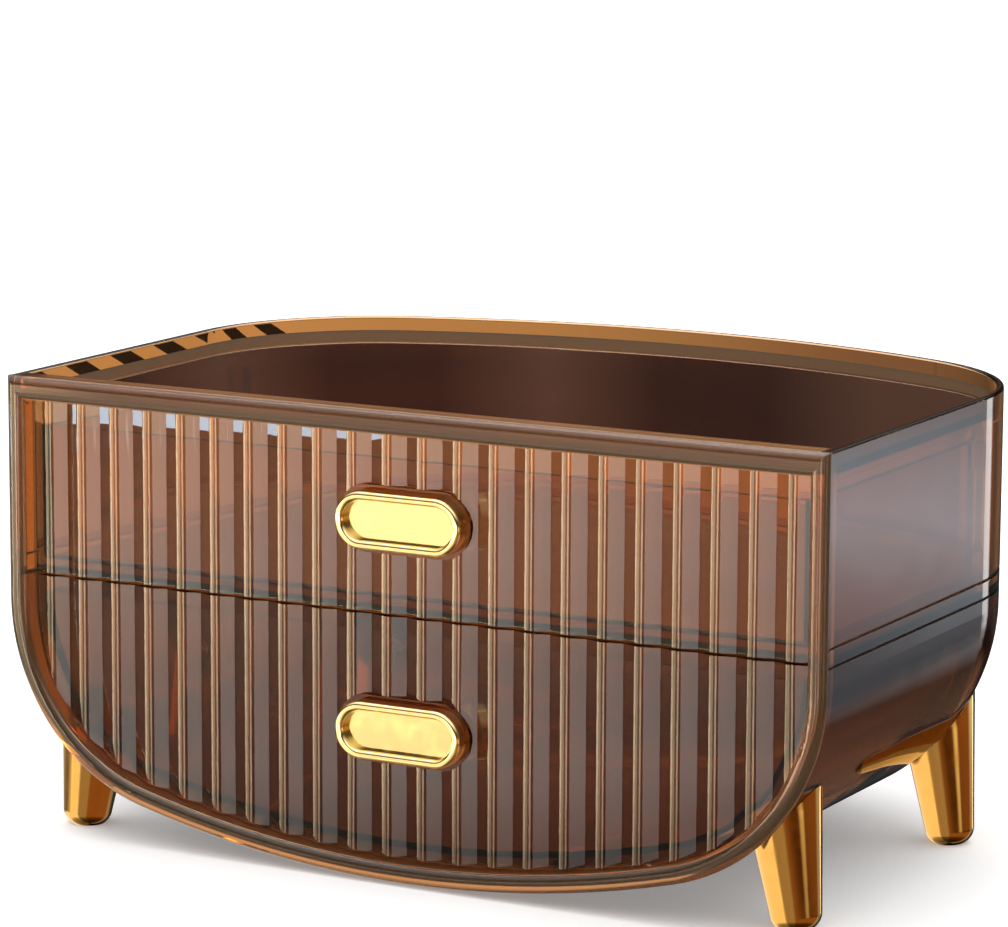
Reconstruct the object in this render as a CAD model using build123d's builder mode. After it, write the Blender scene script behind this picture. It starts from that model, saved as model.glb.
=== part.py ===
from build123d import *

import os
from math import atan2, cos, radians, sin, sqrt, tan

# Two-drawer makeup organizer: a clear bowed case with a shallow tray on top, on four tapered legs.
# Millimetres, +Z up. The origin is on the ground under the middle of the case, and the front faces -Y.

os.makedirs("parts", exist_ok=True)

# Case
WIDTH = 300.0
DEPTH = 210.0
UPPER_HEIGHT = 67.0
LOWER_HEIGHT = 87.0
GROUND_GAP = 0.8
HULL_RISE = 2.5
SHELL_WALL = 2.5
BACK_BOW_RADIUS = 284.0
BELLY_RADIUS = 386.0
SIDE_STRAIGHT = 5.0
CORNER_OVER_BILGE = 3.0
RIM_ROUND = 0.9
SEAM_ROUND = 0.6

# Front frames
FRAME_WIDTH = 6.5
FRAME_PLATE = 3.0
FRAME_DEPTH = 9.0
FRAME_ROUND = 2.8
BAR_HEIGHT = 8.0

# Tray floor and its ledge
TRAY_DEPTH = 5.0
TRAY_THICKNESS = 2.8
LEDGE_WIDTH = 2.0
LEDGE_HEIGHT = 2.0

# Shelf between the tiers
SHELF_BAND = 6.0
SHELF_THICKNESS = 2.5
LIP_HEIGHT = 3.0
LIP_THICKNESS = 2.0

# Fluted drawer fronts
FRONT_RECESS = 5.0
FRONT_THICKNESS = 4.0
FLUTE_PITCH = 13.0
FLUTE_DEPTH = 2.2
FLUTE_ROUND = 6.0

# Drawer tubs and what they run on
TUB_WALL = 2.0
UPPER_TUB_HEIGHT = 46.0
LOWER_TUB_DROP = 6.0
TUB_ROUND = 2.5
TRAVEL = 120.0
EAR_LENGTH = 5.0
EAR_HEIGHT = 9.0
RUNNER_WIDTH = 3.0
RUNNER_HEIGHT = 1.5
UPPER_RUNNER_X = 70.0
LOWER_RUNNER_X = 55.0

# Handles
HANDLE_LENGTH = 46.0
HANDLE_HEIGHT = 19.0
HANDLE_DEPTH = 5.0
HANDLE_RIM = 3.0
HANDLE_RIM_ROUND = 1.3
HANDLE_RECESS = 3.2
HANDLE_PAD_MARGIN = 1.5
UPPER_HANDLE_RISE = 1.5
LOWER_HANDLE_RISE = 2.5
STUD_RADIUS = 2.5
STUD_SPACING = 24.0
HANDLE_SCREW_RADIUS = 1.1
HANDLE_SCREW_HEAD = 2.3
HANDLE_SCREW_HEAD_HEIGHT = 1.6

# Legs
LEG_INSET = 16.7
LEG_FRONT_SETBACK = 20.5
LEG_REAR_SETBACK = 68.5
LEG_TIP_RADIUS = 7.6
LEG_TIP_ROUND = 6.0
LEG_TAPER = 6.5
LEG_SPLAY = 8.0
LEG_TIP_CUT = 0.8
BOSS_RADIUS = 5.0
BOSS_HEIGHT = 1.2
LEG_SCREW_RADIUS = 1.6
LEG_SCREW_HEAD = 3.2
LEG_SCREW_HEAD_HEIGHT = 1.8
LEG_SCREW_GRIP = 9.0

# Cross recess of a screw head, as shares of the head's radius and height
CROSS_LENGTH = 1.3
CROSS_WIDTH = 0.28
CROSS_DEPTH = 0.5

# Clearances
FIT_GAP = 0.2
FRONT_GAP = 0.5
TUB_SIDE_GAP = 3.5
RUNNER_GAP = 0.3
STOP_GAP = 1.0
EAR_GAP = 1.5
STUD_GAP = 0.15
SCREW_GAP = 0.1
SCREW_HOLE_GAP = 0.4
LEG_SEAT_GAP = 0.1
LEG_BLANK_GAP = 13.0

# Levels and planes that the pieces share
SEAM = GROUND_GAP + LOWER_HEIGHT
TOP = SEAM + UPPER_HEIGHT
HULL_FOOT = GROUND_GAP + HULL_RISE
FRONT = -DEPTH / 2
BACK = DEPTH / 2
SHELL_FRONT = FRONT + FRAME_PLATE
INSIDE_FRONT = FRONT + FRAME_DEPTH + FIT_GAP
SHELF_TOP = SEAM + SHELF_BAND
TRAY_TOP = TOP - TRAY_DEPTH
TRAY_UNDERSIDE = TRAY_TOP - TRAY_THICKNESS
OPENING_TOP = TOP - BAR_HEIGHT
CREST_Y = FRONT + FRONT_RECESS
PANEL_BACK_Y = CREST_Y + FRONT_THICKNESS
TUB_FRONT_Y = PANEL_BACK_Y + FIT_GAP
TUB_INSIDE_Y = TUB_FRONT_Y + TUB_WALL
SHELF_FRONT = max(INSIDE_FRONT, PANEL_BACK_Y + FRONT_GAP)
TUB_INSET = FRAME_WIDTH + TUB_SIDE_GAP
UPPER_TUB_FLOOR = SEAM + SHELF_THICKNESS + RUNNER_HEIGHT + RUNNER_GAP
UPPER_TUB_TOP = UPPER_TUB_FLOOR + UPPER_TUB_HEIGHT
LOWER_TUB_TOP = SEAM - LOWER_TUB_DROP
UPPER_PANEL = (SEAM + FRONT_GAP, OPENING_TOP - FRONT_GAP)
LOWER_PANEL = (GROUND_GAP + FRAME_WIDTH + FRONT_GAP, SEAM - FRONT_GAP)
UPPER_HANDLE_Z = sum(UPPER_PANEL) / 2 + UPPER_HANDLE_RISE
LOWER_HANDLE_Z = sum(LOWER_PANEL) / 2 + LOWER_HANDLE_RISE
LEG_LENGTH = (SEAM - LEG_BLANK_GAP) / cos(radians(LEG_SPLAY))

# The bilge starts below the straight side and runs into the belly. The rear corners are a little rounder.
BILGE_DROP = HULL_FOOT + BELLY_RADIUS - (SEAM - SIDE_STRAIGHT)
BILGE_RADIUS = (BELLY_RADIUS**2 - (WIDTH / 2) ** 2 - BILGE_DROP**2) / (2 * BELLY_RADIUS - WIDTH)
REAR_CORNER_RADIUS = BILGE_RADIUS + CORNER_OVER_BILGE


def bow_centre(tip, sign, bow_radius):
    """Centre, along the bow's own direction, of the big arc whose outermost point is tip."""
    return tip - sign * bow_radius


def corner_centre(tip, sign, bow_radius, corner_radius):
    """Centre of the right corner arc, tangent to the straight side and to the bow."""
    across = WIDTH / 2 - corner_radius
    along = sqrt((bow_radius - corner_radius) ** 2 - across**2)
    return across, bow_centre(tip, sign, bow_radius) + sign * along


def bow_at(x, tip, sign, bow_radius, inset):
    """Where the bow, set in by inset, lies at x."""
    return bow_centre(tip, sign, bow_radius) + sign * sqrt((bow_radius - inset) ** 2 - x**2)


def bowed_outline(tip, sign, bow_radius, corner_radius, open_end, inset, mode):
    """Face with straight sides, an open end that is straight across, round corners and a bowed far end."""
    half = WIDTH / 2 - inset
    radius = corner_radius - inset
    across, along = corner_centre(tip, sign, bow_radius, corner_radius)
    turn = atan2(abs(along - bow_centre(tip, sign, bow_radius)), across)
    middle = (across + radius * cos(turn / 2), along + sign * radius * sin(turn / 2))
    tangent = (across + radius * cos(turn), along + sign * radius * sin(turn))
    with BuildLine() as outline:
        Polyline((-half, along), (-half, open_end), (half, open_end), (half, along))
        ThreePointArc((half, along), middle, tangent)
        ThreePointArc(tangent, (0, tip - sign * inset), (-tangent[0], tangent[1]))
        ThreePointArc((-tangent[0], tangent[1]), (-middle[0], middle[1]), (-half, along))
    make_face(outline.edges(), mode=mode)


def plan_outline(inset, front_y, mode=Mode.ADD):
    """The case seen from above: straight sides and a bowed back."""
    bowed_outline(BACK, 1, BACK_BOW_RADIUS, REAR_CORNER_RADIUS, front_y, inset, mode)


def hull_outline(inset, top_z, foot_z, mode=Mode.ADD):
    """The lower tier seen from the front: straight sides, round bilges and a shallow belly."""
    bowed_outline(foot_z, -1, BELLY_RADIUS, BILGE_RADIUS, top_z, inset, mode)


def facing_front(y):
    """Plane across the case at y, drawn on in X and Z. Its normal points to the front."""
    return Plane.XZ.offset(-y)


def hull_block(inset, front_y, top_z, foot_z):
    """Solid of the lower tier's bowl: the case's plan above the belly, with the bilge all round it."""
    half = WIDTH / 2 - inset
    side_foot = (half, bow_at(half, foot_z, -1, BELLY_RADIUS, inset))
    quarter_foot = (half / 2, bow_at(half / 2, foot_z, -1, BELLY_RADIUS, inset))
    middle_foot = (0, foot_z + inset)
    with BuildPart() as block:
        with BuildSketch(facing_front(front_y)):
            with BuildLine():
                Polyline(middle_foot, (0, top_z), (half, top_z), side_foot)
                ThreePointArc(side_foot, quarter_foot, middle_foot)
            make_face()
        extrude(amount=front_y - BACK)
        with BuildSketch(Plane.XY):
            plan_outline(inset, front_y)
        extrude(amount=top_z, mode=Mode.INTERSECT)
        belly_edges = block.faces().sort_by(Axis.Z)[0].edges()
        behind_front = belly_edges.filter_by(lambda edge: edge.center().Y > front_y + FIT_GAP)
        fillet(behind_front.filter_by(lambda edge: edge.center().X > FIT_GAP), BILGE_RADIUS - inset)
        mirror(about=Plane.YZ)
    return block.part


def seam_edges(part):
    """Level edges of a case piece that lie on the outside of the case, lowest first."""
    radii = (REAR_CORNER_RADIUS, BACK_BOW_RADIUS)

    def on_outside(edge):
        if edge.geom_type == GeomType.CIRCLE:
            return min(abs(edge.radius - radius) for radius in radii) < FIT_GAP
        return abs(edge.center().X) > WIDTH / 2 - FIT_GAP

    level = part.edges().filter_by(lambda edge: edge.bounding_box().size.Z < FIT_GAP)
    return level.filter_by(on_outside).group_by(Axis.Z)


def screw(head_plane, radius, length, head_radius, head_height):
    """Pan-head screw: the plane lies under its head and faces along the shank."""
    with BuildSketch(head_plane) as shank:
        Circle(radius)
    extrude(shank.sketch, amount=length)
    with BuildSketch(head_plane) as head:
        Circle(head_radius)
    extrude(head.sketch, amount=-head_height)
    with BuildSketch(head_plane.offset(-head_height)) as cross:
        Rectangle(head_radius * CROSS_LENGTH, head_radius * CROSS_WIDTH)
        Rectangle(head_radius * CROSS_WIDTH, head_radius * CROSS_LENGTH)
    extrude(cross.sketch, amount=head_height * CROSS_DEPTH, mode=Mode.SUBTRACT)


def ears(tub_top):
    """Stop ears near the back of a tub's sides, which meet the front frame when the drawer is out."""
    ear_y = FRONT + FRAME_DEPTH + STOP_GAP + TRAVEL
    with BuildSketch(Plane.XY.offset(tub_top - EAR_HEIGHT)) as both_ears:
        plan_outline(SHELL_WALL + EAR_GAP, INSIDE_FRONT)
        with Locations((0, ear_y + EAR_LENGTH / 2)):
            Rectangle(WIDTH, EAR_LENGTH, mode=Mode.INTERSECT)
        plan_outline(TUB_INSET + TUB_WALL / 2, INSIDE_FRONT, mode=Mode.SUBTRACT)
    extrude(both_ears.sketch, amount=EAR_HEIGHT)


def stud_places(handle_z):
    """Where a handle's two studs pass through the drawer front."""
    return [(-STUD_SPACING / 2, handle_z), (STUD_SPACING / 2, handle_z)]


def fluted_plate(z, top_z):
    """Fluted front from z to top_z: pleats with rounded crests, flat behind."""
    half = WIDTH / 2 - FRAME_WIDTH - FRONT_GAP
    count = round(2 * half / FLUTE_PITCH)
    step = 2 * half / count
    pleats = []
    for i in range(count):
        pleats.append((-half + i * step, CREST_Y + FLUTE_DEPTH))
        pleats.append((-half + (i + 0.5) * step, CREST_Y))
    pleats.append((half, CREST_Y + FLUTE_DEPTH))
    with BuildSketch(Plane.XY.offset(z)) as section:
        with BuildLine():
            Polyline((-half, PANEL_BACK_Y), *pleats, (half, PANEL_BACK_Y), close=True)
        make_face()
        fillet(section.vertices().group_by(Axis.Y)[0], FLUTE_ROUND)
    extrude(section.sketch, amount=top_z - z)


def handle_seat(handle_z):
    """Smooth pad on a fluted front for its handle, with the two stud holes."""
    pad_length = HANDLE_LENGTH + 2 * HANDLE_PAD_MARGIN
    pad_height = HANDLE_HEIGHT + 2 * HANDLE_PAD_MARGIN
    with BuildSketch(facing_front(PANEL_BACK_Y)) as pad:
        with Locations((0, handle_z)):
            SlotOverall(pad_length, pad_height)
    extrude(pad.sketch, amount=FRONT_THICKNESS)
    with BuildSketch(facing_front(PANEL_BACK_Y)) as stud_holes:
        with Locations(*stud_places(handle_z)):
            Circle(STUD_RADIUS + STUD_GAP)
    extrude(stud_holes.sketch, amount=FRONT_THICKNESS, mode=Mode.SUBTRACT)


def screw_holes(handle_z):
    """Holes for a handle's screws in the front wall of a tub."""
    with BuildSketch(facing_front(TUB_INSIDE_Y)) as holes:
        with Locations(*stud_places(handle_z)):
            Circle(HANDLE_SCREW_RADIUS + SCREW_HOLE_GAP)
    extrude(holes.sketch, amount=TUB_WALL, mode=Mode.SUBTRACT)


# Upper case: side and back wall of the upper tier, with a ledge inside for the tray floor
with BuildPart() as upper_case:
    with BuildSketch(Plane.XY.offset(SHELF_TOP)):
        plan_outline(0, SHELL_FRONT)
        plan_outline(SHELL_WALL, SHELL_FRONT, mode=Mode.SUBTRACT)
    extrude(amount=TOP - SHELF_TOP)
    rim = upper_case.faces().sort_by(Axis.Z)[-1].edges()
    fillet(rim.filter_by(lambda e: e.center().Y > SHELL_FRONT + FIT_GAP), RIM_ROUND)
    fillet(seam_edges(upper_case)[0], SEAM_ROUND)
    with BuildSketch(Plane.XY.offset(TRAY_UNDERSIDE - LEDGE_HEIGHT)):
        plan_outline(SHELL_WALL / 2, INSIDE_FRONT)
        plan_outline(SHELL_WALL + LEDGE_WIDTH, INSIDE_FRONT, mode=Mode.SUBTRACT)
    extrude(amount=LEDGE_HEIGHT)
upper_case.part.label = "upper_case"
export_step(upper_case.part, "parts/upper_case.step")

# Tray floor: plate that drops between the walls on to the ledge
with BuildPart() as tray_floor:
    with BuildSketch(Plane.XY.offset(TRAY_UNDERSIDE)):
        plan_outline(SHELL_WALL + FIT_GAP, INSIDE_FRONT)
    extrude(amount=TRAY_THICKNESS)
tray_floor.part.label = "tray_floor"
export_step(tray_floor.part, "parts/tray_floor.step")

# Upper front frame: two posts and a top bar, with a spigot that plugs in between the walls
with BuildPart() as upper_front_frame:
    opening_width = WIDTH - 2 * FRAME_WIDTH
    spigot_width = WIDTH - 2 * (SHELL_WALL + FIT_GAP)
    for plane_y, width, thickness in (
        (FRONT, WIDTH, FRAME_PLATE),
        (SHELL_FRONT, spigot_width, FRAME_DEPTH - FRAME_PLATE),
    ):
        with BuildSketch(facing_front(plane_y)):
            with Locations((0, SEAM)):
                Rectangle(width, UPPER_HEIGHT, align=(Align.CENTER, Align.MIN))
                Rectangle(
                    opening_width,
                    UPPER_HEIGHT - BAR_HEIGHT,
                    align=(Align.CENTER, Align.MIN),
                    mode=Mode.SUBTRACT,
                )
        extrude(amount=-thickness)
    face_edges = upper_front_frame.faces().sort_by(Axis.Y)[0].edges()
    fillet(face_edges.filter_by(lambda e: e.center().Z > SEAM + FIT_GAP), FRAME_ROUND)
upper_front_frame.part.label = "upper_front_frame"
export_step(upper_front_frame.part, "parts/upper_front_frame.step")

# Middle shelf: band and plate between the tiers, with lips that locate both cases and two runners
with BuildPart() as middle_shelf:
    with BuildSketch(Plane.XY.offset(SEAM)):
        plan_outline(0, SHELL_FRONT)
        plan_outline(SHELL_WALL, SHELL_FRONT, mode=Mode.SUBTRACT)
    extrude(amount=SHELF_BAND)
    band_edges = seam_edges(middle_shelf)
    fillet(band_edges[0] + band_edges[-1], SEAM_ROUND)
    with BuildSketch(Plane.XY.offset(SEAM)):
        plan_outline(SHELL_WALL / 2, SHELF_FRONT)
    extrude(amount=SHELF_THICKNESS)
    with BuildSketch(Plane.XY.offset(SEAM)):
        plan_outline(SHELL_WALL / 2, SHELF_FRONT)
        plan_outline(SHELL_WALL + LIP_THICKNESS, SHELF_FRONT, mode=Mode.SUBTRACT)
    extrude(amount=SHELF_BAND)
    with BuildSketch(Plane.XY.offset(SEAM - LIP_HEIGHT)):
        plan_outline(SHELL_WALL + FIT_GAP, SHELF_FRONT)
        plan_outline(SHELL_WALL + LIP_THICKNESS, SHELF_FRONT, mode=Mode.SUBTRACT)
    extrude(amount=LIP_HEIGHT + SHELF_BAND + LIP_HEIGHT)
    for side in (-1, 1):
        runner_back = bow_at(UPPER_RUNNER_X + RUNNER_WIDTH / 2, BACK, 1, BACK_BOW_RADIUS, SHELL_WALL)
        with BuildSketch(Plane.XY.offset(SEAM)):
            with Locations((side * UPPER_RUNNER_X, SHELF_FRONT)):
                Rectangle(RUNNER_WIDTH, runner_back - SHELF_FRONT, align=(Align.CENTER, Align.MIN))
        extrude(amount=SHELF_THICKNESS + RUNNER_HEIGHT)
middle_shelf.part.label = "middle_shelf"
export_step(middle_shelf.part, "parts/middle_shelf.step")

# Where a leg's axis meets the bilge, and the direction square to the wall there
leg_x = WIDTH / 2 - LEG_INSET
bilge_x, bilge_z = corner_centre(HULL_FOOT, -1, BELLY_RADIUS, BILGE_RADIUS)
lean = (-sin(radians(LEG_SPLAY)), cos(radians(LEG_SPLAY)))
towards = (leg_x - bilge_x) * lean[0] - bilge_z * lean[1]
apart = (leg_x - bilge_x) ** 2 + bilge_z**2 - BILGE_RADIUS**2
leg_reach = -towards - sqrt(towards**2 - apart)
wall_normal = (
    (leg_x + leg_reach * lean[0] - bilge_x) / BILGE_RADIUS,
    (leg_reach * lean[1] - bilge_z) / BILGE_RADIUS,
)
leg_rows = {"front": FRONT + LEG_FRONT_SETBACK, "rear": BACK - LEG_REAR_SETBACK}
leg_sides = {"left": -1, "right": 1}
boss_depth = SHELL_WALL + BOSS_HEIGHT


def plan_inset(y):
    """How far the rear corner has drawn the wall in from the straight side at y."""
    corner_y = corner_centre(BACK, 1, BACK_BOW_RADIUS, REAR_CORNER_RADIUS)[1]
    along = max(0, y - corner_y)
    return REAR_CORNER_RADIUS - sqrt(REAR_CORNER_RADIUS**2 - along**2)


def leg_seat_plane(side, y, depth):
    """Plane square to the wall at a leg, this deep below the wall's outside. It faces outwards."""
    radius = BILGE_RADIUS - plan_inset(y) - depth
    origin = (side * (bilge_x + radius * wall_normal[0]), y, bilge_z + radius * wall_normal[1])
    return Plane(origin=origin, x_dir=(0, 1, 0), z_dir=(side * wall_normal[0], 0, wall_normal[1]))


# Lower case: bowl of the lower tier, with a boss at each leg and two runners on the belly
hull_outside = hull_block(0, SHELL_FRONT, SEAM, HULL_FOOT)
hull_inside = hull_block(SHELL_WALL, SHELL_FRONT, SEAM, HULL_FOOT)
with BuildPart() as leg_bosses:
    for side in leg_sides.values():
        for leg_y in leg_rows.values():
            with BuildSketch(leg_seat_plane(side, leg_y, boss_depth)):
                Circle(BOSS_RADIUS)
            extrude(amount=boss_depth + SHELL_WALL)
    add(hull_outside, mode=Mode.INTERSECT)
with BuildPart() as lower_case:
    add(hull_outside)
    add(hull_inside, mode=Mode.SUBTRACT)
    fillet(seam_edges(lower_case)[-1], SEAM_ROUND)
    add(leg_bosses.part)
    for side in leg_sides.values():
        near = LOWER_RUNNER_X - RUNNER_WIDTH / 2
        far = LOWER_RUNNER_X + RUNNER_WIDTH / 2
        runner_foot = bow_at(far, HULL_FOOT, -1, BELLY_RADIUS, SHELL_WALL / 2)
        runner_top = bow_at(near, GROUND_GAP, -1, BELLY_RADIUS, TUB_INSET) - RUNNER_GAP
        runner_back = bow_at(far, BACK, 1, BACK_BOW_RADIUS, BILGE_RADIUS)
        with BuildSketch(facing_front(SHELF_FRONT)):
            with Locations((side * LOWER_RUNNER_X, runner_foot)):
                Rectangle(RUNNER_WIDTH, runner_top - runner_foot, align=(Align.CENTER, Align.MIN))
        extrude(amount=SHELF_FRONT - runner_back)
        for leg_y in leg_rows.values():
            with BuildSketch(leg_seat_plane(side, leg_y, boss_depth)):
                Circle(LEG_SCREW_RADIUS + SCREW_HOLE_GAP)
            extrude(amount=boss_depth + SHELL_WALL, mode=Mode.SUBTRACT)
lower_case.part.label = "lower_case"
export_step(lower_case.part, "parts/lower_case.step")

# Lower front frame: U-shaped bead round the lower drawer, with its spigot
with BuildPart() as lower_front_frame:
    for plane_y, inset, foot_z, thickness in (
        (FRONT, 0, GROUND_GAP, FRAME_PLATE),
        (SHELL_FRONT, SHELL_WALL + FIT_GAP, HULL_FOOT, FRAME_DEPTH - FRAME_PLATE),
    ):
        with BuildSketch(facing_front(plane_y)):
            hull_outline(inset, SEAM, foot_z)
            hull_outline(FRAME_WIDTH, SEAM, GROUND_GAP, mode=Mode.SUBTRACT)
        extrude(amount=-thickness)
    face_edges = lower_front_frame.faces().sort_by(Axis.Y)[0].edges()
    fillet(face_edges.filter_by(lambda e: e.center().Z < SEAM - FIT_GAP), FRAME_ROUND)
lower_front_frame.part.label = "lower_front_frame"
export_step(lower_front_frame.part, "parts/lower_front_frame.step")

# Upper drawer tub: open box with the case's plan, and stop ears on its sides
with BuildPart() as upper_drawer_tub:
    with BuildSketch(Plane.XY.offset(UPPER_TUB_FLOOR)):
        plan_outline(TUB_INSET, TUB_FRONT_Y)
    extrude(amount=UPPER_TUB_HEIGHT)
    fillet(upper_drawer_tub.faces().sort_by(Axis.Z)[0].edges(), TUB_ROUND)
    with BuildSketch(Plane.XY.offset(UPPER_TUB_FLOOR + TUB_WALL)):
        plan_outline(TUB_INSET + TUB_WALL, TUB_INSIDE_Y)
    extrude(amount=UPPER_TUB_HEIGHT - TUB_WALL, mode=Mode.SUBTRACT)
    ears(UPPER_TUB_TOP)
    screw_holes(UPPER_HANDLE_Z)
upper_drawer_tub.part.label = "upper_drawer_tub"
export_step(upper_drawer_tub.part, "parts/upper_drawer_tub.step")

# Lower drawer tub: the same, as a bowl inside the lower tier's
tub_outside = hull_block(TUB_INSET, TUB_FRONT_Y, LOWER_TUB_TOP, GROUND_GAP)
tub_inside = hull_block(TUB_INSET + TUB_WALL, TUB_INSIDE_Y, LOWER_TUB_TOP, GROUND_GAP)
with BuildPart() as lower_drawer_tub:
    add(tub_outside)
    add(tub_inside, mode=Mode.SUBTRACT)
    ears(LOWER_TUB_TOP)
    screw_holes(LOWER_HANDLE_Z)
lower_drawer_tub.part.label = "lower_drawer_tub"
export_step(lower_drawer_tub.part, "parts/lower_drawer_tub.step")

# Fluted fronts: the upper one is straight-sided, the lower one follows the frame's U
with BuildPart() as upper_drawer_front:
    fluted_plate(*UPPER_PANEL)
    handle_seat(UPPER_HANDLE_Z)
upper_drawer_front.part.label = "upper_drawer_front"
export_step(upper_drawer_front.part, "parts/upper_drawer_front.step")

with BuildPart() as lower_drawer_front:
    fluted_plate(*LOWER_PANEL)
    with BuildSketch(facing_front(FRONT)):
        hull_outline(FRAME_WIDTH + FRONT_GAP, LOWER_PANEL[1], GROUND_GAP)
    extrude(amount=FRONT - TUB_INSIDE_Y, mode=Mode.INTERSECT)
    handle_seat(LOWER_HANDLE_Z)
lower_drawer_front.part.label = "lower_drawer_front"
export_step(lower_drawer_front.part, "parts/lower_drawer_front.step")

# Cup handles: a rounded rim round a shallow recess, with two studs behind
for drawer, handle_z in (("upper", UPPER_HANDLE_Z), ("lower", LOWER_HANDLE_Z)):
    stud_length = FRONT_THICKNESS - FIT_GAP
    with BuildPart() as handle:
        with BuildSketch(facing_front(CREST_Y)):
            with Locations((0, handle_z)):
                SlotOverall(HANDLE_LENGTH, HANDLE_HEIGHT)
        extrude(amount=HANDLE_DEPTH)
        with BuildSketch(facing_front(CREST_Y - HANDLE_DEPTH)):
            with Locations((0, handle_z)):
                SlotOverall(HANDLE_LENGTH - 2 * HANDLE_RIM, HANDLE_HEIGHT - 2 * HANDLE_RIM)
        extrude(amount=-HANDLE_RECESS, mode=Mode.SUBTRACT)
        fillet(handle.faces().sort_by(Axis.Y)[0].edges(), HANDLE_RIM_ROUND)
        with BuildSketch(facing_front(CREST_Y)):
            with Locations(*stud_places(handle_z)):
                Circle(STUD_RADIUS)
        extrude(amount=-stud_length)
        with BuildSketch(facing_front(CREST_Y + stud_length)):
            with Locations(*stud_places(handle_z)):
                Circle(HANDLE_SCREW_RADIUS + SCREW_GAP)
        extrude(amount=FRONT_THICKNESS, mode=Mode.SUBTRACT)
    handle.part.label = drawer + "_drawer_handle"
    export_step(handle.part, "parts/" + drawer + "_drawer_handle.step")

    with BuildPart() as handle_screws:
        for x, z in stud_places(handle_z):
            head_plane = Plane(origin=(x, TUB_INSIDE_Y, z), x_dir=(1, 0, 0), z_dir=(0, -1, 0))
            screw(
                head_plane,
                HANDLE_SCREW_RADIUS,
                TUB_WALL + FRONT_THICKNESS,
                HANDLE_SCREW_HEAD,
                HANDLE_SCREW_HEAD_HEIGHT,
            )
    handle_screws.part.label = drawer + "_handle_screws"
    export_step(handle_screws.part, "parts/" + drawer + "_handle_screws.step")

# Legs: splayed cones with round tips, cut flat on the ground and to the belly's curve on top
hull_seat = hull_block(-LEG_SEAT_GAP, FRONT - BILGE_RADIUS, SEAM, HULL_FOOT)
for row, leg_y in leg_rows.items():
    for side_name, side in leg_sides.items():
        leg_axis = (side * lean[0], 0, lean[1])
        leg_plane = Plane(
            origin=(side * leg_x, leg_y, -LEG_TIP_CUT),
            x_dir=(side * lean[1], 0, -lean[0]),
            z_dir=(0, -side, 0),
        )
        top_radius = LEG_TIP_RADIUS + LEG_LENGTH * tan(radians(LEG_TAPER))
        with BuildPart() as leg:
            with BuildSketch(leg_plane):
                with BuildLine():
                    Polyline(
                        (0, 0), (LEG_TIP_RADIUS, 0), (top_radius, LEG_LENGTH), (0, LEG_LENGTH), close=True
                    )
                make_face()
            revolve(axis=Axis(leg_plane.origin, leg_axis))
            fillet(leg.edges().sort_by(Axis.Z)[0], LEG_TIP_ROUND)
            split(bisect_by=Plane.XY, keep=Keep.TOP)
            add(hull_seat, mode=Mode.SUBTRACT)
            with BuildSketch(leg_seat_plane(side, leg_y, boss_depth)):
                Circle(LEG_SCREW_RADIUS + SCREW_GAP)
            extrude(amount=boss_depth + LEG_SCREW_GRIP + LEG_SCREW_RADIUS, mode=Mode.SUBTRACT)
        leg.part.label = "leg_" + row + "_" + side_name
        export_step(leg.part, "parts/leg_" + row + "_" + side_name + ".step")

# Leg screws: from inside the case, square to the wall, into the legs
with BuildPart() as leg_screws:
    for leg_y in leg_rows.values():
        for side in leg_sides.values():
            screw(
                leg_seat_plane(side, leg_y, boss_depth),
                LEG_SCREW_RADIUS,
                boss_depth + LEG_SCREW_GRIP,
                LEG_SCREW_HEAD,
                LEG_SCREW_HEAD_HEIGHT,
            )
leg_screws.part.label = "leg_screws"
export_step(leg_screws.part, "parts/leg_screws.step")
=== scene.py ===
import math

import bpy
from mathutils import Matrix, Vector

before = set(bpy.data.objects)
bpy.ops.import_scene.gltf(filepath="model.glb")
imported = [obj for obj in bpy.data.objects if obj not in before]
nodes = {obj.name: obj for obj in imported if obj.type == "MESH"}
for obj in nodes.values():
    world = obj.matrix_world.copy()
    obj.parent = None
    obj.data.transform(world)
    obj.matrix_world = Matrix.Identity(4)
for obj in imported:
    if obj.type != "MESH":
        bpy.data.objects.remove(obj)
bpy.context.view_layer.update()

# Upper case: the thin side and back wall of the upper tier, moulded in clear amber plastic.
# Its polished faces keep faint flow lines from the mould, and it is bonded to the shelf below it.
amber_ior = 1.49
amber_dye = (0.80, 0.46, 0.12)
amber_shine = 0.5
flow_line_scale = 9.0
flow_line_detail = 2.0
flow_line_swirl = 0.6
flow_line_height = 0.004
scuff_scale = 320.0
scuff_detail = 4.0
scuff_start, scuff_full = 0.45, 0.8
wall_tint = (0.89, 0.63, 0.40)
wall_tint_deep = (0.82, 0.52, 0.30)
wall_dye_strength = 60.0
wall_ripple = 0.06
wall_rough = (0.0, 0.03)


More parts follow.
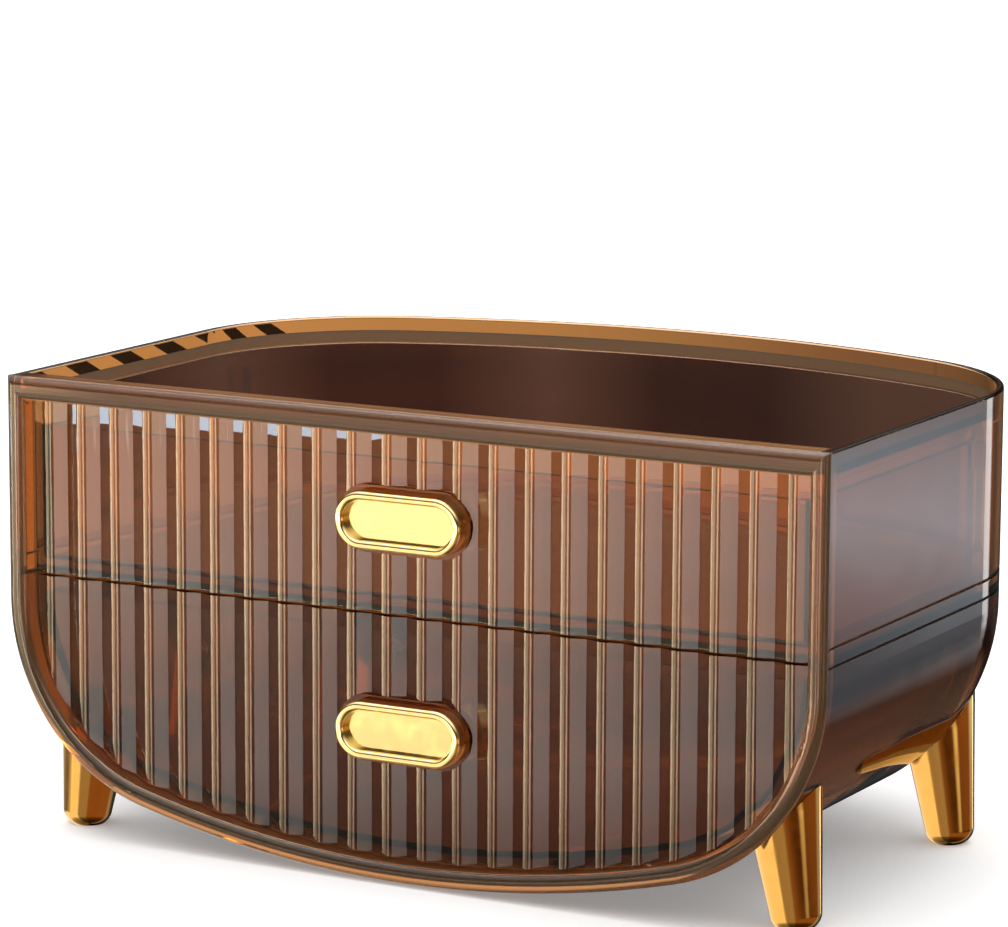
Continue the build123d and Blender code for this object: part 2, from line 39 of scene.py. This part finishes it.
def clear_amber(name, pale, deep, dye_strength, ripple, rough, shine=amber_shine, clear=1.0):
    """Dyed clear plastic: its tint drifts with the moulding's flow, and faint scuffs dull its polish."""
    plastic = bpy.data.materials.new(name)
    plastic.use_nodes = True
    tree = plastic.node_tree
    surface = tree.nodes["Principled BSDF"]
    surface.inputs["IOR"].default_value = amber_ior
    surface.inputs["Transmission Weight"].default_value = clear
    surface.inputs["Specular IOR Level"].default_value = shine
    place = tree.nodes.new("ShaderNodeTexCoord")
    flow = tree.nodes.new("ShaderNodeTexNoise")
    flow.inputs["Scale"].default_value = flow_line_scale
    flow.inputs["Detail"].default_value = flow_line_detail
    flow.inputs["Distortion"].default_value = flow_line_swirl
    tree.links.new(place.outputs["Object"], flow.inputs["Vector"])
    drift = tree.nodes.new("ShaderNodeMix")
    drift.data_type = "RGBA"
    drift.inputs["A"].default_value = (*pale, 1)
    drift.inputs["B"].default_value = (*deep, 1)
    tree.links.new(flow.outputs["Fac"], drift.inputs["Factor"])
    tree.links.new(drift.outputs["Result"], surface.inputs["Base Color"])
    scuffs = tree.nodes.new("ShaderNodeTexNoise")
    scuffs.inputs["Scale"].default_value = scuff_scale
    scuffs.inputs["Detail"].default_value = scuff_detail
    tree.links.new(place.outputs["Object"], scuffs.inputs["Vector"])
    polish = tree.nodes.new("ShaderNodeMapRange")
    polish.inputs["From Min"].default_value = scuff_start
    polish.inputs["From Max"].default_value = scuff_full
    polish.inputs["To Min"].default_value = rough[0]
    polish.inputs["To Max"].default_value = rough[1]
    tree.links.new(scuffs.outputs["Fac"], polish.inputs["Value"])
    tree.links.new(polish.outputs["Result"], surface.inputs["Roughness"])
    wave = tree.nodes.new("ShaderNodeBump")
    wave.inputs["Strength"].default_value = ripple
    wave.inputs["Distance"].default_value = flow_line_height
    tree.links.new(flow.outputs["Fac"], wave.inputs["Height"])
    tree.links.new(wave.outputs["Normal"], surface.inputs["Normal"])
    body_dye = tree.nodes.new("ShaderNodeVolumeAbsorption")
    body_dye.inputs["Color"].default_value = (*amber_dye, 1)
    body_dye.inputs["Density"].default_value = dye_strength
    tree.links.new(body_dye.outputs["Volume"], tree.nodes["Material Output"].inputs["Volume"])
    return plastic


def finish_node(name, material):
    """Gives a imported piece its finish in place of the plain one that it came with."""
    piece = nodes[name]
    piece.data.materials.clear()
    piece.data.materials.append(material)


amber_wall = clear_amber(
    "amber_wall", wall_tint, wall_tint_deep, wall_dye_strength, wall_ripple, wall_rough
)
finish_node("upper_case", amber_wall)

# Tray floor: the sunk plate on top of the case, clear amber whose tint and dye are painted much darker
# than the walls as painted shade.
# It drops on to a ledge inside the wall, and use leaves it a little more scuffed than the rest.
tray_amber_with_painted_shade = (0.20, 0.10, 0.055)
tray_amber_deep_with_painted_shade = (0.12, 0.055, 0.028)
tray_dye_with_painted_shade_strength = 120.0
tray_ripple = 0.03
tray_rough = (0.01, 0.07)
amber_tray_with_painted_shade = clear_amber(
    "amber_tray_with_painted_shade", tray_amber_with_painted_shade, tray_amber_deep_with_painted_shade, tray_dye_with_painted_shade_strength, tray_ripple, tray_rough
)
finish_node("tray_floor", amber_tray_with_painted_shade)

# Front frames: the rounded bar and posts round the upper drawer and the U-shaped bead round the lower.
# They are clear amber mouldings whose spigots are bonded into the mouths of the two cases.
bead_tint = (0.96, 0.60, 0.32)
bead_tint_deep = (0.91, 0.48, 0.22)
bead_dye_strength = 40.0
bead_ripple = 0.04
bead_rough = (0.0, 0.03)
bead_shine = 1.0
bead_clear = 0.93
amber_bead = clear_amber(
    "amber_bead",
    bead_tint,
    bead_tint_deep,
    bead_dye_strength,
    bead_ripple,
    bead_rough,
    bead_shine,
    bead_clear,
)
finish_node("upper_front_frame", amber_bead)
finish_node("lower_front_frame", amber_bead)

# Middle shelf: the plate and band between the tiers, clear amber, with runners for the upper drawer.
# Its lips locate both cases, which are bonded to it above and below.
finish_node("middle_shelf", amber_wall)

# Lower case: the bowl of the lower tier, clear amber whose tint and dye are painted darker as painted
# shade under the curve of its belly.
# Bosses inside it take the screws of the legs, and two runners on the belly carry the drawer.
bowl_amber_with_painted_shade = (0.40, 0.235, 0.13)
bowl_amber_deep_with_painted_shade = (0.31, 0.17, 0.09)
bowl_dye_with_painted_shade_strength = 120.0
bowl_ripple = 0.12
bowl_rough = (0.0, 0.05)
amber_bowl_with_painted_shade = clear_amber(
    "amber_bowl_with_painted_shade", bowl_amber_with_painted_shade, bowl_amber_deep_with_painted_shade, bowl_dye_with_painted_shade_strength, bowl_ripple, bowl_rough
)
finish_node("lower_case", amber_bowl_with_painted_shade)

# Drawer tubs: thin open boxes behind the fronts, clear amber, that slide on the runners.
# Small ears near their backs stop them against the frames.
tub_tint = (0.95, 0.79, 0.61)
tub_tint_deep = (0.91, 0.71, 0.51)
tub_dye_strength = 55.0
tub_ripple = 0.03
tub_rough = (0.0, 0.03)
tub_shine = 0.2
amber_tub = clear_amber(
    "amber_tub", tub_tint, tub_tint_deep, tub_dye_strength, tub_ripple, tub_rough, tub_shine
)
finish_node("upper_drawer_tub", amber_tub)
finish_node("lower_drawer_tub", amber_tub)

# Fluted fronts: the pleated panels of the two drawers, clear amber with polished crests.
# They are bonded to the tubs, and each has a smooth pad for its pull.
flute_tint = (0.96, 0.84, 0.69)
flute_tint_deep = (0.92, 0.77, 0.60)
flute_dye_strength = 60.0
flute_ripple = 0.02
flute_rough = (0.0, 0.01)
flute_shine = 1.0
amber_flutes = clear_amber(
    "amber_flutes",
    flute_tint,
    flute_tint_deep,
    flute_dye_strength,
    flute_ripple,
    flute_rough,
    flute_shine,
)
finish_node("upper_drawer_front", amber_flutes)
finish_node("lower_drawer_front", amber_flutes)

# Pulls: oval cup handles moulded in plastic and plated in pale gold, polished on the rim.
# Two studs behind each one pass through the front and take screws from inside the tub.
pull_gold = (1.0, 0.82, 0.42)
pull_gold_worn = (0.97, 0.75, 0.34)
pull_rough = (0.10, 0.20)
peel_scale = 180.0
peel_detail = 3.0
peel_start, peel_full = 0.35, 0.75
peel_strength = 0.006
peel_height = 0.0005


def plating(name, bright, worn, rough):
    """Metal plating on a moulding or a screw: faint orange peel, and a polish that varies a little."""
    plated = bpy.data.materials.new(name)
    plated.use_nodes = True
    tree = plated.node_tree
    surface = tree.nodes["Principled BSDF"]
    surface.inputs["Metallic"].default_value = 1.0
    place = tree.nodes.new("ShaderNodeTexCoord")
    peel = tree.nodes.new("ShaderNodeTexNoise")
    peel.inputs["Scale"].default_value = peel_scale
    peel.inputs["Detail"].default_value = peel_detail
    tree.links.new(place.outputs["Object"], peel.inputs["Vector"])
    tone = tree.nodes.new("ShaderNodeMix")
    tone.data_type = "RGBA"
    tone.inputs["A"].default_value = (*bright, 1)
    tone.inputs["B"].default_value = (*worn, 1)
    tree.links.new(peel.outputs["Fac"], tone.inputs["Factor"])
    tree.links.new(tone.outputs["Result"], surface.inputs["Base Color"])
    polish = tree.nodes.new("ShaderNodeMapRange")
    polish.inputs["From Min"].default_value = peel_start
    polish.inputs["From Max"].default_value = peel_full
    polish.inputs["To Min"].default_value = rough[0]
    polish.inputs["To Max"].default_value = rough[1]
    tree.links.new(peel.outputs["Fac"], polish.inputs["Value"])
    tree.links.new(polish.outputs["Result"], surface.inputs["Roughness"])
    skin = tree.nodes.new("ShaderNodeBump")
    skin.inputs["Strength"].default_value = peel_strength
    skin.inputs["Distance"].default_value = peel_height
    tree.links.new(peel.outputs["Fac"], skin.inputs["Height"])
    tree.links.new(skin.outputs["Normal"], surface.inputs["Normal"])
    return plated


pull_plating = plating("pull_plating", pull_gold, pull_gold_worn, pull_rough)
finish_node("upper_drawer_handle", pull_plating)
finish_node("lower_drawer_handle", pull_plating)

# Screws: small zinc-plated pan heads, two behind each pull and one inside the case at each leg.
# Each head has a cross recess, and the zinc is duller than the gold.
zinc_bright = (0.74, 0.74, 0.72)
zinc_dull = (0.52, 0.52, 0.53)
zinc_rough = (0.22, 0.38)
zinc_plating = plating("zinc_plating", zinc_bright, zinc_dull, zinc_rough)
finish_node("upper_handle_screws", zinc_plating)
finish_node("lower_handle_screws", zinc_plating)
finish_node("leg_screws", zinc_plating)

# Legs: four splayed, tapered feet moulded in plastic and plated in a deeper gold than the pulls.
# Each one is cut to the curve of the bowl and drawn against it by a screw from inside.
leg_gold = (0.76, 0.44, 0.125)
leg_gold_worn = (0.68, 0.37, 0.09)
leg_rough = (0.08, 0.16)
leg_plating = plating("leg_plating", leg_gold, leg_gold_worn, leg_rough)
for corner in ("front_left", "front_right", "rear_left", "rear_right"):
    finish_node("leg_" + corner, leg_plating)

# Studio floor: a plain pale sheet with a faint glow that lifts the shadow.
# Mirrored and seen-through lines of sight pass it by and meet the lower half of the dome instead.
floor_reach = 12.0
floor_pale = (0.92, 0.92, 0.92)
floor_glow = 0.25
matt_rough = 0.9


def matt_paint(name, colour):
    """Dull paint with no gloss."""
    paint = bpy.data.materials.new(name)
    paint.use_nodes = True
    surface = paint.node_tree.nodes["Principled BSDF"]
    surface.inputs["Base Color"].default_value = (*colour, 1)
    surface.inputs["Roughness"].default_value = matt_rough
    surface.inputs["Specular IOR Level"].default_value = 0.0
    return paint


def stage_sheet(name, corners, faces, paint):
    """Flat sheet that belongs to the studio and not to the organizer."""
    sheet_mesh = bpy.data.meshes.new(name)
    sheet_mesh.from_pydata(corners, [], faces)
    sheet_mesh.materials.append(paint)
    sheet = bpy.data.objects.new(name, sheet_mesh)
    bpy.context.scene.collection.objects.link(sheet)
    return sheet


floor_corners = [
    (-floor_reach, -floor_reach, 0),
    (floor_reach, -floor_reach, 0),
    (floor_reach, floor_reach, 0),
    (-floor_reach, floor_reach, 0),
]
floor_paint = matt_paint("floor_paint", floor_pale)
floor_surface = floor_paint.node_tree.nodes["Principled BSDF"]
floor_surface.inputs["Emission Color"].default_value = (1, 1, 1, 1)
floor_surface.inputs["Emission Strength"].default_value = floor_glow
studio_floor = stage_sheet("studio_floor", floor_corners, [(0, 1, 2, 3)], floor_paint)
studio_floor.visible_glossy = False
studio_floor.visible_transmission = False

# Dark slats: a row of slanting dark strips on the floor behind and to the left.
# They show as stripes through the clear left rim, and the camera doesn't see them otherwise.
slat_x = -0.704
slat_first_y = 0.665
slat_spacing = 0.0445
slat_count = 7
slat_run = Vector((-0.73, 0.68, 0))
slat_half_length = 0.07
slat_half_width = 0.0105
slat_height = 0.001
slat_dark = (0.02, 0.014, 0.01)
slat_corners = []
slat_faces = []
for i in range(slat_count):
    slat_middle = Vector((slat_x, slat_first_y + slat_spacing * i, slat_height))
    for along, across in ((-1, -1), (1, -1), (1, 1), (-1, 1)):
        slat_end = slat_middle + along * slat_half_length * slat_run
        slat_corners.append(slat_end + Vector((0, across * slat_half_width, 0)))
    slat_faces.append([4 * i + k for k in range(4)])
slat_paint = matt_paint("slat_paint", slat_dark)
dark_slats = stage_sheet("dark_slats", slat_corners, slat_faces, slat_paint)
dark_slats.visible_camera = False
dark_slats.visible_shadow = False
dark_slats.visible_diffuse = False

# Dome: soft light from above, with a ring of cards all round below its edge, painted by direction.
# What the faces mirror meets the bright cards, and what shows through the plastic meets a backdrop.
# Bearings are in degrees from straight in front, positive to the right. Heights are sines of elevations.
dome = bpy.data.worlds.new("studio_dome")
bpy.context.scene.world = dome
dome.use_nodes = True
dome_tree = dome.node_tree
dome_strength = 1.5
horizon_blur = 0.01


def tone_scale(name, source, low, high, stops):
    """Colours set out along a range of values, such as round the ring or up the dome."""
    share = dome_tree.nodes.new("ShaderNodeMapRange")
    share.inputs["From Min"].default_value = low
    share.inputs["From Max"].default_value = high
    dome_tree.links.new(source, share.inputs["Value"])
    scale = dome_tree.nodes.new("ShaderNodeValToRGB")
    scale.name = name
    marks = scale.color_ramp.elements
    while len(marks) < len(stops):
        marks.new(0.5)
    for mark, (value, colour) in zip(marks, stops):
        mark.position = (value - low) / (high - low)
    for mark, (value, colour) in zip(marks, stops):
        mark.color = (*colour, 1)
    dome_tree.links.new(share.outputs["Result"], scale.inputs["Fac"])
    return scale.outputs["Color"]


def round_ring(name, stops):
    """Tones by bearing, all the way round."""
    return tone_scale(name, bearing, -180.0, 180.0, stops)


def below_edge(name, stops):
    """Tones by height, from straight down to the dome's edge."""
    return tone_scale(name, height, -1.0, 0.0, stops)


def above_edge(name, stops):
    """Tones by height, from the dome's edge to straight up."""
    return tone_scale(name, height, 0.0, 1.0, stops)


def tone_mix(kind, first, second, share=None):
    """Two tones put together, wholly or by a share."""
    mixer = dome_tree.nodes.new("ShaderNodeMix")
    mixer.data_type = "RGBA"
    mixer.blend_type = kind
    if share is None:
        mixer.inputs["Factor"].default_value = 1.0
    else:
        dome_tree.links.new(share, mixer.inputs["Factor"])
    dome_tree.links.new(first, mixer.inputs["A"])
    dome_tree.links.new(second, mixer.inputs["B"])
    return mixer.outputs["Result"]


def grey(level):
    """Neutral tone."""
    return (level, level, level)


def warm(level):
    """Tone of a cream card."""
    return (level, level * 0.90, level * 0.74)


def golden(level):
    """Tone of a gold card."""
    return (level, level * 0.80, level * 0.52)


def cool(level):
    """Tone of a pale slate card."""
    return (level * 0.74, level * 0.89, level)


def dome_sum(operation, first, second=None):
    """One step of arithmetic on a direction. The second value may be left out."""
    step = dome_tree.nodes.new("ShaderNodeMath")
    step.operation = operation
    dome_tree.links.new(first, step.inputs[0])
    if second is not None:
        dome_tree.links.new(second, step.inputs[1])
    return step


dome_place = dome_tree.nodes.new("ShaderNodeTexCoord")
dome_split = dome_tree.nodes.new("ShaderNodeSeparateXYZ")
dome_tree.links.new(dome_place.outputs["Generated"], dome_split.inputs["Vector"])
height = dome_split.outputs["Z"]
to_front = dome_sum("MULTIPLY", dome_split.outputs["Y"])
to_front.inputs[1].default_value = -1.0
bearing_turn = dome_sum("ARCTAN2", dome_split.outputs["X"], to_front.outputs["Value"])
bearing = dome_sum("DEGREES", bearing_turn.outputs["Value"]).outputs["Value"]

red_brown = (0.34, 0.15, 0.06)
front_rose = (1.9, 1.38, 1.06)
facet_card = (3.9, 3.75, 3.5)
mirrored_cards = round_ring(
    "mirrored_cards",
    [
        (-180.0, grey(0.05)),
        (-155.0, grey(0.05)),
        (-148.0, warm(0.9)),
        (-78.0, warm(0.9)),
        (-73.0, grey(0.25)),
        (-61.0, grey(0.25)),
        (-59.0, golden(13.0)),
        (-53.0, golden(13.0)),
        (-51.0, golden(6.5)),
        (-36.0, golden(6.5)),
        (-34.0, front_rose),
        (-24.0, front_rose),
        (-22.0, golden(10.0)),
        (-14.0, golden(10.0)),
        (-12.0, grey(0.4)),
        (-3.0, grey(0.4)),
        (-1.0, facet_card),
        (16.0, facet_card),
        (20.0, (0.8, 0.5, 0.26)),
        (40.0, red_brown),
        (68.0, red_brown),
        (74.0, warm(1.6)),
        (82.0, warm(1.6)),
        (88.0, red_brown),
        (130.0, red_brown),
        (159.5, grey(0.20)),
        (161.5, grey(3.0)),
        (164.5, grey(3.0)),
        (167.0, grey(0.06)),
        (180.0, grey(0.05)),
    ],
)
mirrored_fade = below_edge(
    "mirrored_fade",
    [
        (-0.37, grey(0.0)),
        (-0.30, grey(0.20)),
        (-0.262, grey(0.32)),
        (-0.24, grey(0.75)),
        (-0.215, grey(0.75)),
        (-0.195, grey(1.0)),
        (-0.05, grey(1.0)),
        (0.0, grey(0.3)),
    ],
)
foot_taupe = (0.46, 0.37, 0.27)
foot_cards = round_ring(
    "foot_cards",
    [
        (-180.0, grey(0.05)),
        (-150.0, grey(0.05)),
        (-138.0, warm(1.5)),
        (-24.0, warm(1.5)),
        (-18.0, foot_taupe),
        (20.0, foot_taupe),
        (26.0, red_brown),
        (140.0, red_brown),
        (150.0, grey(0.05)),
        (180.0, grey(0.05)),
    ],
)
foot_fade = below_edge(
    "foot_fade",
    [
        (-0.95, grey(0.1)),
        (-0.75, grey(0.3)),
        (-0.62, grey(1.0)),
        (-0.37, grey(1.0)),
        (-0.30, grey(0.0)),
    ],
)
slate_card = round_ring(
    "slate_card",
    [(132.0, grey(0.0)), (143.0, cool(1.65)), (159.0, cool(1.65)), (161.0, grey(0.0))],
)
slate_fade = below_edge(
    "slate_fade",
    [
        (-0.215, grey(0.20)),
        (-0.200, grey(0.50)),
        (-0.185, grey(1.0)),
        (-0.172, grey(0.75)),
        (-0.160, grey(0.45)),
        (-0.05, grey(0.45)),
        (0.0, grey(0.0)),
    ],
)
backdrop_dark = (0.08, 0.055, 0.04)
backdrop_brown = (0.14, 0.10, 0.07)
seen_backdrop = round_ring(
    "seen_backdrop",
    [
        (-180.0, backdrop_brown),
        (-174.0, (0.35, 0.24, 0.16)),
        (-168.0, (0.56, 0.37, 0.16)),
        (-162.0, (0.17, 0.115, 0.06)),
        (-156.0, (0.27, 0.18, 0.12)),
        (-152.0, (0.56, 0.38, 0.19)),
        (-146.0, (0.74, 0.48, 0.22)),
        (-142.0, (0.48, 0.42, 0.36)),
        (-130.0, (0.46, 0.42, 0.38)),
        (-122.0, backdrop_dark),
        (-60.0, backdrop_dark),
        (0.0, (0.60, 0.56, 0.52)),
        (60.0, backdrop_dark),
        (150.0, backdrop_dark),
        (180.0, backdrop_brown),
    ],
)
seen_fade = below_edge(
    "seen_fade",
    [
        (-1.0, grey(1.0)),
        (-0.50, grey(1.0)),
        (-0.35, grey(0.6)),
        (-0.26, grey(0.20)),
        (-0.235, grey(0.35)),
        (-0.215, grey(1.0)),
        (-0.05, grey(1.0)),
        (0.0, grey(0.5)),
    ],
)
seen_floor = below_edge("seen_floor", [(-0.42, grey(0.9)), (-0.29, grey(0.0))])
low_dark = (0.02, 0.017, 0.015)
low_brown = (0.10, 0.056, 0.04)
low_side = (0.05, 0.045, 0.04)
low_sky = round_ring(
    "low_sky",
    [
        (-180.0, low_dark),
        (-158.5, low_dark),
        (-157.8, low_brown),
        (-156.0, low_brown),
        (-155.4, low_dark),
        (-153.2, low_dark),
        (-152.8, low_brown),
        (-151.8, low_brown),
        (-151.3, low_dark),
        (-149.0, low_dark),
        (-148.4, low_brown),
        (-147.0, low_brown),
        (-146.5, low_dark),
        (-120.0, low_side),
        (150.0, low_side),
        (180.0, low_dark),
    ],
)
high_sky = above_edge("high_sky", [(0.30, grey(0.0)), (0.75, grey(1.0))])
seen_sky = above_edge("seen_sky", [(0.0, grey(0.3)), (1.0, grey(0.6))])

seen_through = dome_tree.nodes.new("ShaderNodeLightPath").outputs["Is Transmission Ray"]
mirrored_ring = tone_mix(
    "ADD",
    tone_mix(
        "ADD",
        tone_mix("MULTIPLY", mirrored_cards, mirrored_fade),
        tone_mix("MULTIPLY", slate_card, slate_fade),
    ),
    tone_mix("MULTIPLY", foot_cards, foot_fade),
)
seen_ring = tone_mix("ADD", tone_mix("MULTIPLY", seen_backdrop, seen_fade), seen_floor)
card_ring = tone_mix("MIX", mirrored_ring, seen_ring, seen_through)
mirrored_sky = dome_tree.nodes.new("ShaderNodeVectorMath")
mirrored_sky.operation = "SCALE"
mirrored_sky.inputs["Scale"].default_value = dome_strength
dome_tree.links.new(tone_mix("SCREEN", low_sky, high_sky), mirrored_sky.inputs["Vector"])
sky_tone = tone_mix("MIX", mirrored_sky.outputs["Vector"], seen_sky, seen_through)
horizon = dome_tree.nodes.new("ShaderNodeMapRange")
horizon.inputs["From Min"].default_value = -horizon_blur
horizon.inputs["From Max"].default_value = horizon_blur
dome_tree.links.new(height, horizon.inputs["Value"])
dome_tone = tone_mix("MIX", card_ring, sky_tone, horizon.outputs["Result"])
dome_tree.links.new(dome_tone, dome_tree.nodes["Background"].inputs["Color"])

# Soft boxes: a broad one overhead, and a small cool one low on the left that faces up.
# The left one is what the tops of the flutes near it mirror, and the camera sees neither.
overhead_place = (-0.2, 0.1, 1.6)
overhead_size = (1.6, 1.2)
overhead_radiance = 2.0
overhead_tint = (1.0, 0.98, 0.96)
left_card_place = (-0.8884, -0.4037, 0.003)
left_card_size = (0.22, 0.075)
left_card_radiance = 10.0
left_card_tint = (0.62, 0.82, 1.0)
left_card_turn = (math.pi, 0, math.radians(-21.0))


def soft_box(name, place, size, radiance, tint):
    """Rectangular soft box of even brightness, kept out of the camera's own sight."""
    lamp = bpy.data.lights.new(name, "AREA")
    lamp.shape = "RECTANGLE"
    lamp.size, lamp.size_y = size
    lamp.energy = radiance * math.pi * size[0] * size[1]
    lamp.color = tint
    box = bpy.data.objects.new(name, lamp)
    bpy.context.scene.collection.objects.link(box)
    box.location = place
    box.visible_camera = False
    return box


overhead_box = soft_box("overhead_box", overhead_place, overhead_size, overhead_radiance, overhead_tint)
overhead_box.rotation_euler = (-Vector(overhead_place)).to_track_quat("-Z", "Y").to_euler()
left_card = soft_box("left_card", left_card_place, left_card_size, left_card_radiance, left_card_tint)
left_card.rotation_euler = left_card_turn

# Camera: a long lens to the right of the front, looking slightly down, as in the photograph.
# Its place and turn come from the fit to the flutes, the seam and the edges of the case.
photo_width = 1008
focal_pixels = 4505.0
sensor_width = 36.0
view_reach = 100.0
clear_layers = 32
camera_place = (0.70461, -1.32072, 0.38644)
camera_yaw = math.radians(28.696)
camera_pitch = math.radians(10.004)
camera_roll = math.radians(0.278)
ahead = Vector(
    (
        -math.sin(camera_yaw) * math.cos(camera_pitch),
        math.cos(camera_yaw) * math.cos(camera_pitch),
        -math.sin(camera_pitch),
    )
)
level_right = Vector((math.cos(camera_yaw), math.sin(camera_yaw), 0))
level_up = level_right.cross(ahead)
camera_right = math.cos(camera_roll) * level_right + math.sin(camera_roll) * level_up
camera_up = math.cos(camera_roll) * level_up - math.sin(camera_roll) * level_right
lens = bpy.data.cameras.new("photo_camera")
lens.sensor_fit = "HORIZONTAL"
lens.sensor_width = sensor_width
lens.lens = focal_pixels / photo_width * sensor_width
lens.clip_end = view_reach
photo_camera = bpy.data.objects.new("photo_camera", lens)
bpy.context.scene.collection.objects.link(photo_camera)
camera_turn = Matrix((camera_right, camera_up, -ahead)).transposed().to_4x4()
photo_camera.matrix_world = Matrix.Translation(camera_place) @ camera_turn
bpy.context.scene.camera = photo_camera
bpy.context.scene.view_settings.view_transform = "Standard"
bpy.context.scene.cycles.max_bounces = clear_layers
bpy.context.scene.cycles.transmission_bounces = clear_layers
